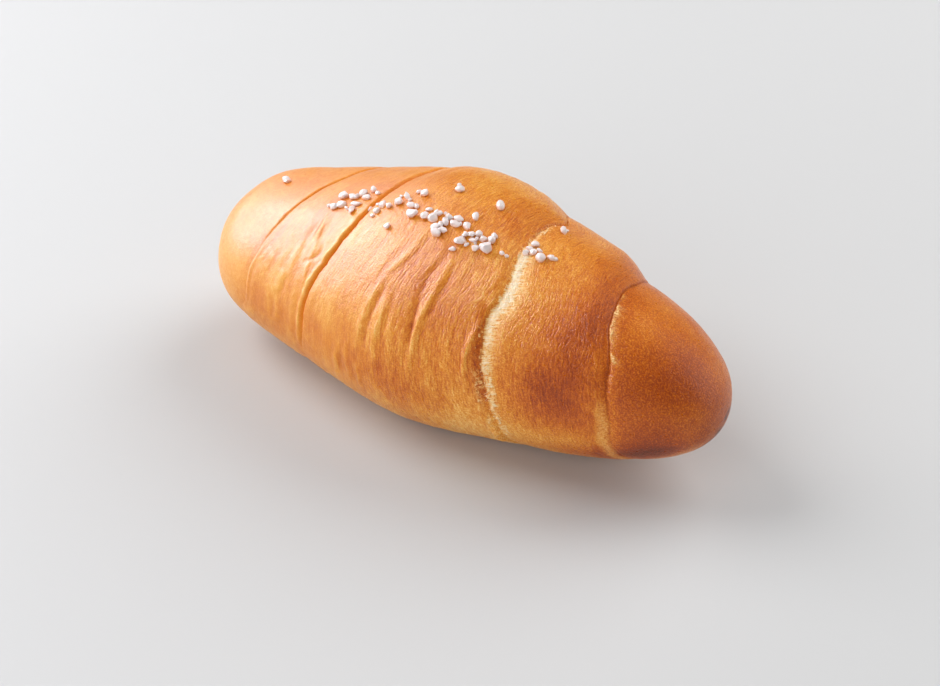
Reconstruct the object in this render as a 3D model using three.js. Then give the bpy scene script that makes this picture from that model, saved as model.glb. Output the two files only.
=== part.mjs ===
// A salt bread roll: a triangle of dough rolled up from its wide end, so the
// body is a fat spindle wrapped by a band whose two slanted edges run round it
// twice. The edges show as four seams, each a step from the turn on top down
// to the turn below, with a groove at its foot. Millimetres, +X along the
// roll, +Z up, origin on the resting face under the middle.
import * as THREE from 'three';

// ---- body of the roll
const LENGTH = 155;          // tip to tip
const HALF_WIDTH = 35.8;     // at the widest section
const HEIGHT = 60.2;         // crown of the widest section
const BELLY_Z = 25.1;        // height at which the sides are widest
const PRESSED = 4;           // depth of dough flattened by the baking tray
const WIDEST_X = -3.9;       // widest section, a little left of the middle
const BEND = -2.5;           // sideways bow of the axis at the tips
const SECTION_POWER = 0.94;  // below 1 the section is fuller than an ellipse
const CROWN_SOFT = 0.188;    // length share over which the taper starts
const END_L = { taper: 0.44, nose: 9.66, blunt: 0.505, tipZ: 20.8 };
const END_R = { taper: 0.515, nose: 7.27, blunt: 0.43, tipZ: 24.3 };

// ---- edges of the rolled band: half width = (start + gain * turns) * sway
// angles in degrees round the roll: 0 back, 90 top, 180 front, 270 base
const TIP_ANGLE = -75;       // tucked end of the band, under the back
const EDGE_L = { side: -1, start: 15.54, gain: 23.03, sway: 0.1455, phase: 125.75,
  wander: [[77, 8, -1.6], [128, 14, -0.9], [166, 12, 1.3], [512, 16, 0.8], [543, 12, -1.7]] };
const EDGE_R = { side: 1, start: 12.45, gain: 28.75, sway: 0.0139, phase: 133.3,
  wander: [[66, 9, 3.0], [118, 16, 1.4], [168, 14, -1.5], [200, 20, -1.0],
    [449, 14, -1.9], [500, 16, 1.2], [534, 14, 1.5]] };

// ---- fullness of the crown, as [x, height] along the roll
const CROWN = [[-77, 0], [-67, 0.5], [-62, 0], [-52, -1], [-44, -1.15], [-30, -1.1], [-18, -0.35],
  [-9, 0.45], [-2, 0.5], [8, 0.05], [77, 0]];

// ---- seams, as [angle, size] round the roll: each turn rounds off by fall to
// its edge, the turn below starts sunk and comes up, a groove lies at its foot
const SEAMS = {
  L1: { fall: [[-75, 0.2], [60, 0.55], [150, 0.25], [285, 0.1]], fallRun: [[-75, 5], [285, 5]],
    sink: [[-75, 0.4], [60, 0.35], [160, 0.2], [285, 0.2]], sinkRun: [[-75, 5], [285, 4]],
    groove: [[-75, 0.6], [60, 1.35], [150, 1.15], [196, 0.12], [285, 0.1]] },
  L2: { fall: [[-75, 0.1], [80, 0.3], [150, 0.15], [285, 0.1]], fallRun: [[-75, 4], [285, 4]],
    sink: [[-75, 0.2], [80, 0.25], [150, 0.2], [285, 0.1]], sinkRun: [[-75, 4], [285, 4]],
    groove: [[-75, 0.1], [40, 0.55], [92, 0.75], [147, 0.05], [285, 0]] },
  R1: { fall: [[-75, 0.3], [47, 1.6], [110, 0.7], [150, 0.9], [208, 0.35], [285, 0.3]],
    fallRun: [[-75, 6], [47, 9], [125, 3.2], [285, 4]],
    sink: [[-75, 0.5], [47, 1.65], [150, 1.35], [208, 0.5], [285, 0.5]],
    sinkRun: [[-75, 5], [47, 11], [110, 3], [285, 4]],
    groove: [[-75, 0.5], [65, 0.8], [118, 0.1], [160, 0.1], [195, 0.5], [285, 0.4]] },
  R2: { fall: [[-75, 0.3], [45, 2.4], [130, 0.5], [200, 0.4], [285, 0.1]],
    fallRun: [[-75, 4], [45, 9.5], [130, 5], [285, 4]],
    sink: [[-75, 0.5], [45, 2.5], [130, 0.6], [200, 0.4], [285, 0.1]],
    sinkRun: [[-75, 4], [45, 16], [130, 4], [285, 3]],
    groove: [[-75, 0.4], [100, 0.7], [150, 0.35], [165, 0.12], [285, 0.05]] },
};
const STEP_WIDE = 0.8;       // half the run of the step between two turns
const GROOVE_WIDE = 0.9;
const FADE_TURN = 60;        // degrees over which an edge starts and dies out
const LAST_ANGLE = 645;      // where the second round dies out under the end
const BASE_FADE = 6;         // seams fade this far above the resting face

// ---- mesh
const COLUMNS = 64, ROWS = 60;
const SEAM_CROWDING = 6, SEAM_REACH = 3;
const CRUST = { color: 0xc07a36, roughness: 0.5, metalness: 0 };

const rad = (deg) => deg * Math.PI / 180;
const clamp = (v, a, b) => Math.min(b, Math.max(a, v));
const smooth = (a, b, v) => { const t = clamp((v - a) / (b - a), 0, 1); return t * t * (3 - 2 * t); };
const signedPower = (v, n) => Math.sign(v) * Math.abs(v) ** n;
const keyed = (v, keys) => {
  let i = 0;
  while (i < keys.length - 2 && v > keys[i + 1][0]) i++;
  const [a, from] = keys[i], [b, to] = keys[i + 1];
  return from + (to - from) * smooth(a, b, v);
};

// girth of the roll at s = -1..1 along it, 1 at the widest section, with the
// height of the section's centre
function section(s) {
  const s0 = WIDEST_X / (LENGTH / 2);
  const end = s < s0 ? END_L : END_R;
  const t = clamp(s < s0 ? (s0 - s) / (1 + s0) : (s - s0) / (1 - s0), 0, 1);
  const spindle = (Math.hypot(t, CROWN_SOFT) - CROWN_SOFT) / (Math.hypot(1, CROWN_SOFT) - CROWN_SOFT);
  const girth = (1 - end.taper * spindle) * Math.max(0, 1 - t ** end.nose) ** end.blunt;
  return { girth, z: BELLY_Z + (end.tipZ - BELLY_Z) * t * t };
}

// smooth crust without seams, before the tray flattens it
function body(x, theta) {
  const s = x / (LENGTH / 2);
  const { girth, z } = section(s);
  const c = Math.cos(theta), n = Math.sin(theta);
  const tall = n > 0 ? HEIGHT - BELLY_Z : BELLY_Z + PRESSED;
  return new THREE.Vector3(
    x,
    HALF_WIDTH * girth * signedPower(c, SECTION_POWER) + BEND * (s * s - 0.33),
    z + tall * girth * signedPower(n, SECTION_POWER));
}

// x of one edge of the band after it has turned through psi degrees
function edgeX(edge, psi) {
  let half = (edge.start + edge.gain * psi / 360) * (1 + edge.sway * Math.sin(rad(psi - edge.phase)));
  for (const [at, spread, shift] of edge.wander) half += shift * Math.exp(-(((psi - at) / spread) ** 2));
  return edge.side * half;
}

// the seams that cross the section line at one angle (TIP_ANGLE .. +360)
function seamsAt(deg) {
  const list = [];
  for (const [edge, names] of [[EDGE_L, ['L1', 'L2']], [EDGE_R, ['R1', 'R2']]]) {
    names.forEach((name, turn) => {
      const psi = deg + 360 * turn;
      const strength = smooth(TIP_ANGLE, TIP_ANGLE + FADE_TURN, psi)
        * (1 - smooth(LAST_ANGLE - FADE_TURN, LAST_ANGLE, psi));
      const form = Object.fromEntries(Object.entries(SEAMS[name]).map(([k, keys]) => [k, keyed(deg, keys)]));
      list.push({ x: edgeX(edge, psi), side: edge.side, strength, form });
    });
  }
  return list;
}

// height of the crust over the smooth body
function relief(x, deg, seams) {
  const h0 = deg > 225 ? deg - 360 : deg;
  let h = keyed(x, CROWN) * smooth(10, 40, h0) * (x < -60 ? smooth(165, 120, h0) : smooth(128, 84, h0));
  for (const { x: at, side, strength, form } of seams) {
    const d = side * (x - at);            // below 0 on the upper turn
    const over = smooth(-STEP_WIDE, STEP_WIDE, d);
    const upper = -form.fall * clamp(1 + Math.min(d, 0) / form.fallRun, 0, 1) ** 1.35;
    const lower = -form.sink * Math.exp(-Math.max(d, 0) / form.sinkRun)
      * smooth(2.6 * form.sinkRun, 0.9 * form.sinkRun, d);
    h += strength * (upper * (1 - over) + lower * over
      - form.groove * Math.exp(-(((d - 0.3) / GROOVE_WIDE) ** 2)));
  }
  return h;
}

// columns of the mesh along one section line, crowded at the seams
function columnsAt(seams) {
  const N = 2400, xs = [], sum = [0];
  for (let i = 0; i <= N; i++) xs.push(LENGTH / 2 * Math.sin(Math.PI / 2 * (2 * i / N - 1)));
  for (let i = 1; i <= N; i++) {
    const a = HALF_WIDTH * section(xs[i - 1] / (LENGTH / 2)).girth;
    const b = HALF_WIDTH * section(xs[i] / (LENGTH / 2)).girth;
    const mid = (xs[i] + xs[i - 1]) / 2;
    let crowd = 1;
    for (const { x, strength } of seams) crowd += SEAM_CROWDING * strength * Math.exp(-(((mid - x) / SEAM_REACH) ** 2));
    sum.push(sum[i - 1] + crowd * Math.hypot(xs[i] - xs[i - 1], b - a));
  }
  const out = [];
  for (let c = 1, i = 0; c < COLUMNS; c++) {
    const want = sum[N] * c / COLUMNS;
    while (sum[i + 1] < want) i++;
    out.push(xs[i] + (xs[i + 1] - xs[i]) * (want - sum[i]) / (sum[i + 1] - sum[i]));
  }
  return out;
}

function crustPoint(x, deg, seams) {
  const theta = rad(deg), p = body(x, theta), e = 0.02;
  const lim = LENGTH / 2 - 1e-3;
  const along = body(Math.min(lim, x + e), theta).sub(body(Math.max(-lim, x - e), theta));
  const round = body(x, theta + 1e-3).sub(body(x, theta - 1e-3));
  const normal = round.cross(along).normalize();
  p.addScaledVector(normal, relief(x, deg, seams) * smooth(0, BASE_FADE, p.z));
  p.z = Math.max(0, p.z);
  return p;
}

function rollGeometry() {
  const points = [], faces = [];
  const tip = (sign) => new THREE.Vector3(sign * LENGTH / 2, BEND * 0.67, section(sign).z);
  points.push(tip(-1));
  for (let r = 0; r < ROWS; r++) {
    const deg = TIP_ANGLE + 360 * r / ROWS;
    const seams = seamsAt(deg);
    for (const x of columnsAt(seams)) points.push(crustPoint(x, deg, seams));
  }
  points.push(tip(1));
  const last = points.length - 1, wide = COLUMNS - 1;
  const id = (r, c) => 1 + (r % ROWS) * wide + c;
  for (let r = 0; r < ROWS; r++) {
    faces.push([0, id(r + 1, 0), id(r, 0)]);
    for (let c = 0; c + 1 < wide; c++) {
      const a = id(r, c), b = id(r, c + 1), d = id(r + 1, c), e = id(r + 1, c + 1);
      // each square is split along its shorter diagonal
      if (points[a].distanceTo(points[e]) < points[b].distanceTo(points[d])) faces.push([a, e, b], [a, d, e]);
      else faces.push([a, d, b], [b, d, e]);
    }
    faces.push([last, id(r, wide - 1), id(r + 1, wide - 1)]);
  }
  // stand the roll over the origin
  const box = new THREE.Box3().setFromPoints(points);
  const mid = box.getCenter(new THREE.Vector3());
  const position = points.flatMap((p) => [p.x - mid.x, p.y - mid.y, p.z - box.min.z]);
  const geometry = new THREE.BufferGeometry();
  geometry.setAttribute('position', new THREE.Float32BufferAttribute(position, 3));
  geometry.setIndex(faces.flat());
  geometry.computeVertexNormals();
  return geometry;
}

const roll = new THREE.Mesh(rollGeometry(), new THREE.MeshStandardMaterial(CRUST));
roll.name = 'roll';
const part = new THREE.Group();
part.add(roll);

export default part;
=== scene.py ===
import math
import bpy
import numpy as np
from mathutils import Matrix, Vector
from mathutils.bvhtree import BVHTree


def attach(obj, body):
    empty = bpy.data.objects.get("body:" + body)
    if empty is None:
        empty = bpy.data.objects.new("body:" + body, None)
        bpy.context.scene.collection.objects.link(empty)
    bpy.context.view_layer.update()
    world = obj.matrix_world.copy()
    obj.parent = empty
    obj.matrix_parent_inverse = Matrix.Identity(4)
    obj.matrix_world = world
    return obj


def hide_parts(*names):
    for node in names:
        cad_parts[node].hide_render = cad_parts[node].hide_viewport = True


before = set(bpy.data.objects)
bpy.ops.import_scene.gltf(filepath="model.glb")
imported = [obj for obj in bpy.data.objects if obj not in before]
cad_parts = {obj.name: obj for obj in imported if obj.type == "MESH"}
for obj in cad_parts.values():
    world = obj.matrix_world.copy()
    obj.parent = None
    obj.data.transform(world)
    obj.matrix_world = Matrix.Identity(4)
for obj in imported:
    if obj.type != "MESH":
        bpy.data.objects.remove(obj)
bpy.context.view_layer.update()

MM = 0.001

# --------------------------------------------------------------------------
# Roll, in millimetres. Same body and band edges as the solid, made finer.
# Angles in degrees round the roll: 0 back, 90 top, 180 front, 270 base.
# --------------------------------------------------------------------------
LENGTH, HALF_WIDTH, HEIGHT, BELLY_Z, PRESSED = 155.0, 35.8, 60.2, 25.1, 4.0
WIDEST_X, BEND, SECTION_POWER, CROWN_SOFT = -3.9, -2.5, 0.94, 0.188
END_L = dict(taper=0.44, nose=9.66, blunt=0.505, tip_z=20.8)
END_R = dict(taper=0.515, nose=7.27, blunt=0.43, tip_z=24.3)
MID_Y = 0.80871               # the solid is centred over its box
TIP_ANGLE, FADE_TURN, LAST_ANGLE, BASE_FADE = -75.0, 60.0, 645.0, 6.0

EDGE_L = dict(side=-1, start=15.54, gain=23.03, sway=0.1455, phase=125.75,
              wander=[(77, 8, -1.6), (128, 14, -0.9), (166, 12, 1.3), (512, 16, 0.8), (543, 12, -1.7)])
EDGE_R = dict(side=1, start=12.45, gain=28.75, sway=0.0139, phase=133.3,
              wander=[(66, 9, 3.0), (118, 16, 1.4), (168, 14, -1.5), (200, 20, -1.0),
                      (449, 14, -1.9), (500, 16, 1.2), (534, 14, 1.5)])
# where each seam really runs on the side that shows: angle, x
RUN = {
    "L1": [(77, -17.5), (90, -19.4), (100, -20.5), (108, -21.3), (116, -22.0), (125, -22.8), (132, -23.8), (140, -25.0),
           (147, -26.4), (153, -28.0), (160, -29.3), (167, -30.2), (175, -30.8), (182, -31.2)],
    "L2": [(87, -40.2), (95, -41.8), (104, -43.2), (112, -44.5), (120, -45.8), (128, -47.0), (135, -48.3), (140, -49.2),
           (145, -50.3), (152, -51.5), (160, -53.0)],
    "R1": [(75, 20.2), (83, 19.7), (90, 20.2), (97, 20.8), (105, 21.3), (110, 22.0), (115, 22.8), (122, 23.6), (130, 23.7),
           (137, 22.8), (145, 22.8), (152, 23.3), (158, 23.7), (163, 24.1), (168, 24.8), (175, 26.1), (182, 26.8), (190, 27.8),
           (195, 28.6)],
    "R2": [(83, 46.0), (90, 46.3), (97, 47.0), (103, 47.8), (110, 48.6), (118, 49.8), (123, 50.8), (128, 51.9), (135, 53.1),
           (140, 53.8), (147, 54.3), (155, 55.1), (163, 56.0), (172, 56.9), (182, 57.4)],
}

COLUMNS, ROWS = 276, 344
SEAM_CROWDING, SEAM_REACH = 4.0, 2.6


def smooth(a, b, v):
    t = np.clip((v - a) / (b - a), 0.0, 1.0)
    return t * t * (3.0 - 2.0 * t)


def bump(v, at, spread):
    return np.exp(-((v - at) / spread) ** 2)


def curve(v, keys):
    """smooth curve through (place, value) keys that doesn't overshoot them"""
    a = np.array([k[0] for k in keys], float)
    b = np.array([k[1] for k in keys], float)
    h = np.diff(a)
    s = np.diff(b) / h
    m = np.zeros(len(a))
    same = s[:-1] * s[1:] > 0
    m[1:-1] = np.where(same, 2 * s[:-1] * s[1:] / np.where(same, s[:-1] + s[1:], 1.0), 0.0)
    v = np.clip(v, a[0], a[-1])
    i = np.clip(np.searchsorted(a, v, side="right") - 1, 0, len(a) - 2)
    t = (v - a[i]) / h[i]
    return (b[i] * (1 + 2 * t) * (1 - t) ** 2 + m[i] * h[i] * t * (1 - t) ** 2
            + b[i + 1] * t * t * (3 - 2 * t) + m[i + 1] * h[i] * t * t * (t - 1))


class Noise:
    """gradient noise, about -1..1, fixed by its seed"""

    def __init__(self, seed):
        rng = np.random.default_rng(seed)
        self.perm = rng.permutation(256)
        g = rng.normal(size=(256, 3))
        self.grad = g / np.linalg.norm(g, axis=1, keepdims=True)

    def __call__(self, x, y, z=0.0):
        x, y, z = np.broadcast_arrays(np.asarray(x, float), y, z)
        i0, i1, i2 = (np.floor(v).astype(int) for v in (x, y, z))
        f0, f1, f2 = x - i0, y - i1, z - i2
        u0, u1, u2 = (f * f * f * (f * (f * 6 - 15) + 10) for f in (f0, f1, f2))
        out = np.zeros_like(x)
        for a in (0, 1):
            for b in (0, 1):
                for c in (0, 1):
                    h = self.perm[(self.perm[(self.perm[(i0 + a) & 255] + i1 + b) & 255] + i2 + c) & 255]
                    g = self.grad[h]
                    w = (u0 if a else 1 - u0) * (u1 if b else 1 - u1) * (u2 if c else 1 - u2)
                    out += w * (g[..., 0] * (f0 - a) + g[..., 1] * (f1 - b) + g[..., 2] * (f2 - c))
        return out * 1.7


def section(s):
    s0 = WIDEST_X / (LENGTH / 2)
    left = s < s0

    def pick(k):
        return np.where(left, END_L[k], END_R[k])
    t = np.clip(np.where(left, (s0 - s) / (1 + s0), (s - s0) / (1 - s0)), 0, 1)
    spindle = (np.hypot(t, CROWN_SOFT) - CROWN_SOFT) / (math.hypot(1, CROWN_SOFT) - CROWN_SOFT)
    girth = (1 - pick("taper") * spindle) * np.maximum(0, 1 - t ** pick("nose")) ** pick("blunt")
    return girth, BELLY_Z + (pick("tip_z") - BELLY_Z) * t * t


def body(x, deg):
    """smooth crust before the tray flattens it"""
    th = np.radians(deg)
    s = x / (LENGTH / 2)
    girth, zc = section(s)
    c, n = np.cos(th), np.sin(th)
    tall = np.where(n > 0, HEIGHT - BELLY_Z, BELLY_Z + PRESSED)
    y = HALF_WIDTH * girth * np.sign(c) * np.abs(c) ** SECTION_POWER + BEND * (s * s - 0.33)
    z = zc + tall * girth * np.sign(n) * np.abs(n) ** SECTION_POWER
    return np.stack(np.broadcast_arrays(x, y, z), -1)


def edge_x(edge, psi):
    half = (edge["start"] + edge["gain"] * psi / 360) * (1 + edge["sway"] * np.sin(np.radians(psi - edge["phase"])))
    for at, spread, shift in edge["wander"]:
        half = half + shift * np.exp(-((psi - at) / spread) ** 2)
    return edge["side"] * half


def strength(psi):
    return smooth(TIP_ANGLE, TIP_ANGLE + FADE_TURN, psi) * (1 - smooth(LAST_ANGLE - FADE_TURN, LAST_ANGLE, psi))


ragged = Noise(11)


def seam_lines(deg):
    """x and strength of the four seams round the roll, a little ragged"""
    out = {}
    for name, edge, turn in (("L1", EDGE_L, 0), ("L2", EDGE_L, 1), ("R1", EDGE_R, 0), ("R2", EDGE_R, 1)):
        psi = deg + 360 * turn
        run = RUN[name]
        shift = [(run[0][0] - 28, 0.0)] + [(a, x - float(edge_x(edge, np.array(a + 360.0 * turn)))) for a, x in run] + [(run[-1][0] + 28, 0.0)]
        arc = psi * 0.55                      # about millimetres along the seam
        rough = {"L1": 0.34, "L2": 0.20, "R1": 0.30, "R2": 0.24}[name]
        x = edge_x(edge, psi) + curve(deg, shift) \
            + rough * (ragged(arc / 4.2, 3.1 * edge["side"]) + 0.6 * ragged(arc / 1.7, 7.7 * edge["side"]))
        out[name] = (x, strength(psi), edge["side"])
    return out


# rows round the roll, closer on the crown and front, wider on the plain base
fine_deg = np.linspace(TIP_ANGLE, TIP_ANGLE + 360.0, 3601)
dense = 0.4 + 0.6 * smooth(-70, -50, fine_deg) * smooth(230, 216, fine_deg) + 0.3 * smooth(58, 74, fine_deg) * smooth(216, 200, fine_deg)
dense = np.concatenate([[0.0], np.cumsum((dense[1:] + dense[:-1]) / 2)])
deg_rows = np.interp(dense[-1] * np.arange(ROWS) / ROWS, dense, fine_deg)

# columns along each section line, crowded at the seams
lines = seam_lines(deg_rows)
fine_s = np.sin(np.pi / 2 * np.linspace(-1, 1, 3001))
fine_x = LENGTH / 2 * fine_s
fine_r = HALF_WIDTH * section(fine_s)[0]
step_len = np.hypot(np.diff(fine_x), np.diff(fine_r))
fine_mid = (fine_x[1:] + fine_x[:-1]) / 2
X = np.zeros((ROWS, COLUMNS - 1))
for r in range(ROWS):
    crowd = 0.72 + 0.5 * smooth(-46, -32, fine_mid) * smooth(34, 18, fine_mid)
    for x, st, side in lines.values():
        crowd += SEAM_CROWDING * st[r] * bump(fine_mid, x[r] + side * 0.4, SEAM_REACH)
    total = np.concatenate([[0.0], np.cumsum(crowd * step_len)])
    X[r] = np.interp(total[-1] * np.arange(1, COLUMNS) / COLUMNS, total, fine_x)
DEG = np.repeat(deg_rows[:, None], COLUMNS - 1, 1)

# --------------------------------------------------------------------------
# Relief over the smooth body
# --------------------------------------------------------------------------
P = body(X, DEG)
e = 0.02
lim = LENGTH / 2 - 1e-3
along = body(np.minimum(lim, X + e), DEG) - body(np.maximum(-lim, X - e), DEG)
around = body(X, DEG + 0.06) - body(X, DEG - 0.06)
N = np.cross(around, along)
N /= np.linalg.norm(N, axis=-1, keepdims=True)

D = {k: v[2] * (X - v[0][:, None]) for k, v in lines.items()}      # below 0 on the upper turn
ST = {k: np.repeat(v[1][:, None], COLUMNS - 1, 1) for k, v in lines.items()}
half = np.where(DEG > 225, DEG - 360, DEG)                          # -135 .. 225
ARC = DEG * 0.55

# fullness of the crown along the roll
CROWN = [(-77, 0.0), (-72, 0.4), (-67, 0.5), (-62, 0.0), (-57, -0.5), (-52, -1.0), (-44, -1.15), (-30, -1.1), (-24, -0.65),
         (-18, -0.35), (-13, 0.2), (-9, 0.45), (-2, 0.5), (3, 0.25), (8, 0.05), (14, 0.0), (77, 0.0)]
relief = curve(X, CROWN) * smooth(-55, -10, half) * np.where(X < -62, smooth(165, 120, half), smooth(128, 84, half))

# seam form round the roll, keys are (angle, millimetres): each turn is a
# pillow that rounds off by fall over fall_run to its edge; the turn below
# starts sunk by sink and comes up over sink_run; a groove lies at its foot
FORM = {
    "L1": dict(fall=[(-75, 0.2), (30, 0.5), (60, 0.55), (110, 0.4), (150, 0.25), (195, 0.1), (285, 0.1)],
               fall_run=[(-75, 5.0), (285, 5.0)],
               sink=[(-75, 0.4), (60, 0.35), (110, 0.25), (160, 0.2), (285, 0.2)], sink_run=[(-75, 5.0), (285, 4.0)],
               groove=[(-75, 0.6), (60, 1.25), (90, 1.25), (120, 1.1), (150, 1.0), (168, 0.9), (182, 0.5), (196, 0.12), (285, 0.1)],
               at=0.3, inner=0.38, outer=0.56, over=[(-75, 0.0), (60, 0.15), (150, 0.15), (180, 0.0), (285, 0.0)]),
    "L2": dict(fall=[(-75, 0.1), (80, 0.3), (150, 0.15), (285, 0.1)], fall_run=[(-75, 4.0), (285, 4.0)],
               sink=[(-75, 0.2), (80, 0.25), (150, 0.2), (285, 0.1)], sink_run=[(-75, 4.0), (285, 4.0)],
               groove=[(-75, 0.1), (40, 0.55), (75, 0.8), (92, 0.85), (105, 0.68), (118, 0.52), (130, 0.38), (140, 0.2), (148, 0.03), (285, 0.0)],
               at=0.25, inner=0.28, outer=0.44, over=[(-75, 0.0), (285, 0.0)]),
    "R1": dict(fall=[(-75, 0.3), (0, 1.0), (47, 1.6), (75, 1.3), (95, 1.0), (110, 0.9), (125, 0.95), (150, 1.15), (170, 0.85), (185, 0.65), (208, 0.4), (285, 0.3)],
               fall_run=[(-75, 6.0), (47, 9.0), (75, 8.0), (95, 6.0), (110, 3.8), (125, 3.0), (150, 2.7), (185, 2.8), (285, 4.0)],
               sink=[(-75, 0.5), (0, 1.2), (47, 1.65), (75, 1.4), (95, 1.1), (108, 0.95), (125, 1.0), (150, 1.15), (166, 0.65), (185, 0.4), (208, 0.4), (285, 0.5)],
               sink_run=[(-75, 5.0), (0, 9.0), (47, 11.0), (75, 9.0), (95, 5.0), (110, 3.0), (150, 2.4), (170, 3.2), (185, 3.6), (285, 4.0)],
               groove=[(-75, 0.5), (30, 0.7), (65, 0.8), (80, 0.5), (92, 0.3), (103, 0.08), (160, 0.12), (174, 0.2), (195, 0.3), (285, 0.4)],
               at=0.15, inner=0.4, outer=0.45, over=[(-75, 0.0), (40, 0.2), (78, 0.2), (92, 0.0), (285, 0.0)]),
    "R2": dict(fall=[(-75, 0.3), (0, 1.6), (45, 2.4), (75, 1.6), (100, 0.9), (130, 0.5), (165, 0.6), (200, 0.4), (285, 0.1)],
               fall_run=[(-75, 4.0), (45, 9.5), (75, 8.0), (100, 6.5), (130, 5.0), (165, 4.0), (285, 4.0)],
               sink=[(-75, 0.5), (0, 1.7), (45, 2.5), (75, 1.9), (100, 1.1), (130, 0.6), (165, 0.6), (200, 0.4), (285, 0.1)],
               sink_run=[(-75, 4.0), (0, 14.0), (45, 16.0), (75, 14.0), (100, 8.0), (130, 4.0), (165, 3.0), (285, 3.0)],
               groove=[(-75, 0.4), (45, 0.6), (75, 0.55), (92, 0.5), (104, 0.3), (120, 0.26), (135, 0.45), (150, 0.35), (165, 0.12), (285, 0.05)],
               at=0.1, inner=0.26, outer=0.3, over=[(-75, 0.0), (60, 0.3), (92, 0.15), (106, 0.05), (140, 0.08), (160, 0.0), (285, 0.0)]),
}
slide = np.zeros_like(X)
rag = Noise(23)
for k, f in FORM.items():
    d, st = D[k], ST[k]
    fall, fall_run, sink, sink_run, groove = (curve(DEG, f[n]) for n in ("fall", "fall_run", "sink", "sink_run", "groove"))
    over = smooth(-0.4, 0.4, d)
    upper = -fall * np.clip(1 + np.minimum(d, 0) / fall_run, 0, 1) ** 1.35
    lower = -sink * np.exp(-np.maximum(d, 0) / sink_run) * smooth(2.6 * sink_run, 0.9 * sink_run, d)
    rough = 1 + 0.3 * rag(DEG * 0.16, d * 0.15, ord(k[1]) + 3.0 * ord(k[0]))
    width = 1 + 0.34 * rag(DEG * 0.11, 3.3, 2.0 * ord(k[1]) + ord(k[0])) + 0.3 * rag(DEG * 0.36, 8.1, 2.0 * ord(k[1]) + ord(k[0])) \
        + (1.5 * bump(DEG, 145, 9) if k == "R2" else 0.0)
    width = np.maximum(width, 0.45)
    ditch = np.exp(-np.abs((d - f["at"]) / (width * np.where(d < f["at"], f["inner"], f["outer"]))) ** 2)
    relief += st * (upper * (1 - over) + lower * over - groove * rough * ditch)
    # the upper turn hangs a little over the groove
    slide += (1 if k[0] == "R" else -1) * st * curve(DEG, f["over"]) * bump(d, -0.35, 0.7)

# place within each turn: 0 at its left edge, 1 at its right
x_l1, x_r1, x_l2, x_r2 = (lines[k][0][:, None] for k in ("L1", "R1", "L2", "R2"))
V3 = (X - x_l1) / (x_r1 - x_l1)
V2 = (X - x_l2) / (x_l1 - x_l2)
V4 = (X - x_r1) / (x_r2 - x_r1)
in3 = ((V3 > 0) & (V3 < 1)).astype(float)
in2 = ((V2 > 0) & (V2 < 1)).astype(float)
in4 = ((V4 > 0) & (V4 < 1)).astype(float)
capL = (X < x_l2).astype(float)
capR = (X > x_r2).astype(float)
soft3 = smooth(0.0, 0.05, V3) * smooth(1.0, 0.96, V3)
soft2 = smooth(0.0, 0.10, V2) * smooth(1.0, 0.92, V2)
soft4 = smooth(0.0, 0.16, V4) * smooth(1.0, 0.92, V4)

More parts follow.
